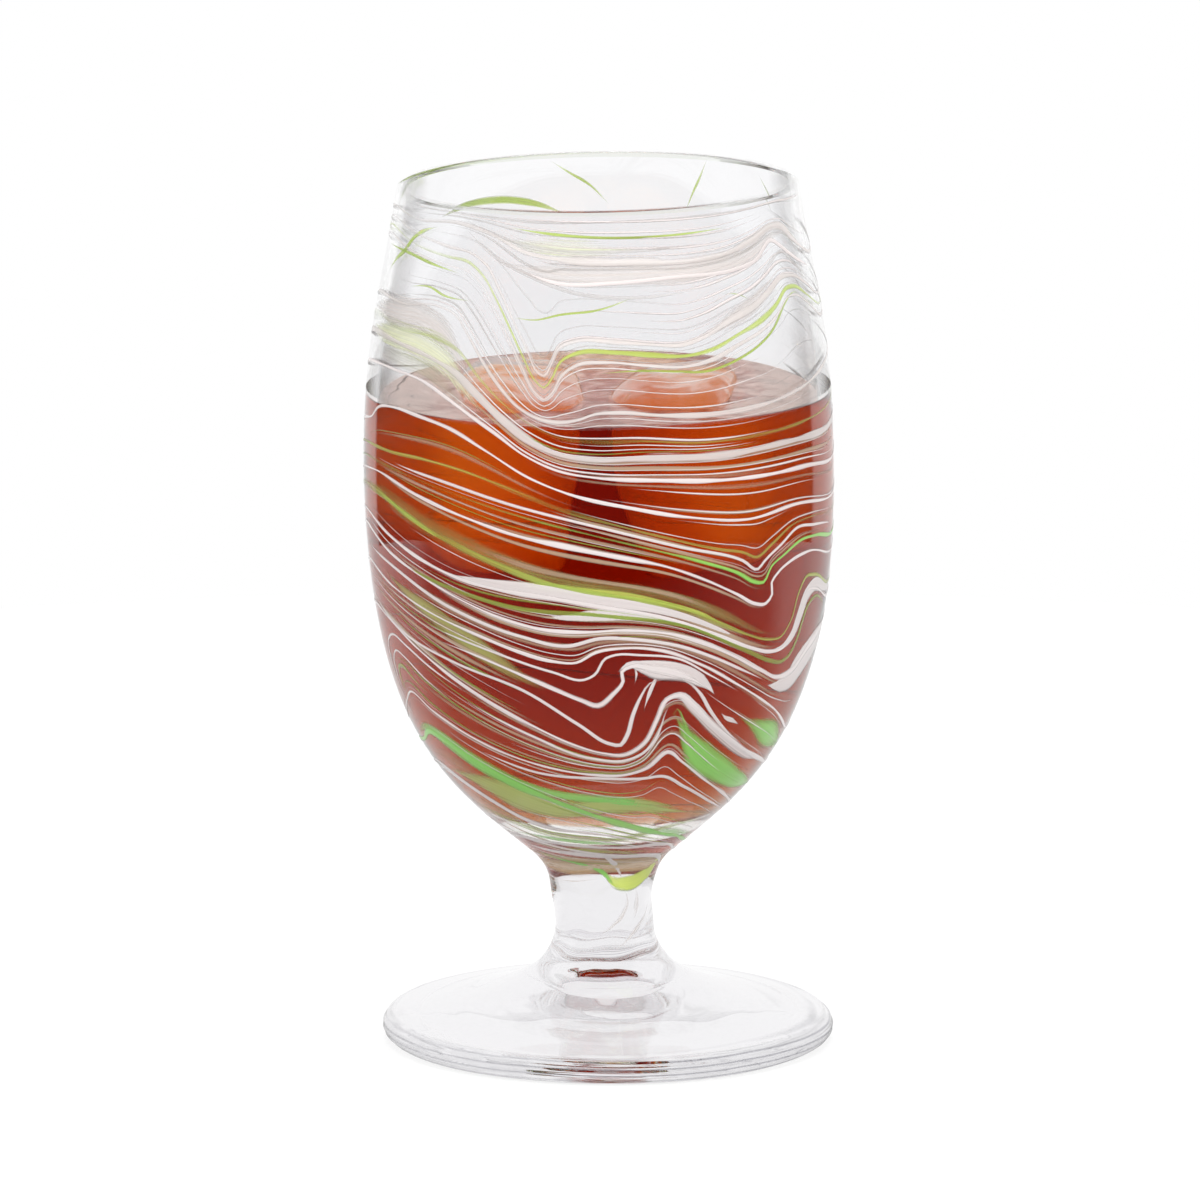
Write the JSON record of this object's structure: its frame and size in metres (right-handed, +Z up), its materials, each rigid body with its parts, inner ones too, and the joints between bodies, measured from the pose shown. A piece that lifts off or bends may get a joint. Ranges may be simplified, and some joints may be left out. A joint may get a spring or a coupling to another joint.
{
  "type": "goblet",
  "caption": "Stemmed drinking goblet of clear glass with a deep rounded bowl, a short stem, a wide round foot and combed white and green glass trails.",
  "frame": {"origin": "middle of the foot, on the surface the goblet stands on", "axes": "+Z up along the axis of the bowl, stem and foot; the front of the trail pattern faces -Y"},
  "size_m": [0.0903, 0.0904, 0.165],
  "materials": {
    "clear_glass": "fire-polished clear soda-lime glass",
    "white_glass": "fire-polished opal white glass",
    "green_glass": "fire-polished lime green glass"
  },
  "bodies": {
    "root": {"bowl": "clear_glass", "stem": "clear_glass", "foot": "clear_glass", "white_trail_1": "white_glass", "white_trail_2": "white_glass", "white_trail_3": "white_glass", "white_trail_4": "white_glass", "white_trail_5": "white_glass", "white_trail_6": "white_glass", "white_trail_7": "white_glass", "white_trail_8": "white_glass", "white_trail_9": "white_glass", "white_trail_10": "white_glass", "white_trail_11": "white_glass", "white_trail_12": "white_glass", "white_trail_13": "white_glass", "white_trail_14": "white_glass", "white_trail_15": "white_glass", "white_trail_16": "white_glass", "green_trail_1": "green_glass", "green_trail_2": "green_glass", "green_trail_3": "green_glass", "green_trail_4": "green_glass", "green_trail_5": "green_glass", "green_trail_6": "green_glass", "green_trail_7": "green_glass", "green_trail_8": "green_glass", "green_trail_9": "green_glass"}
  },
  "joints": []
}
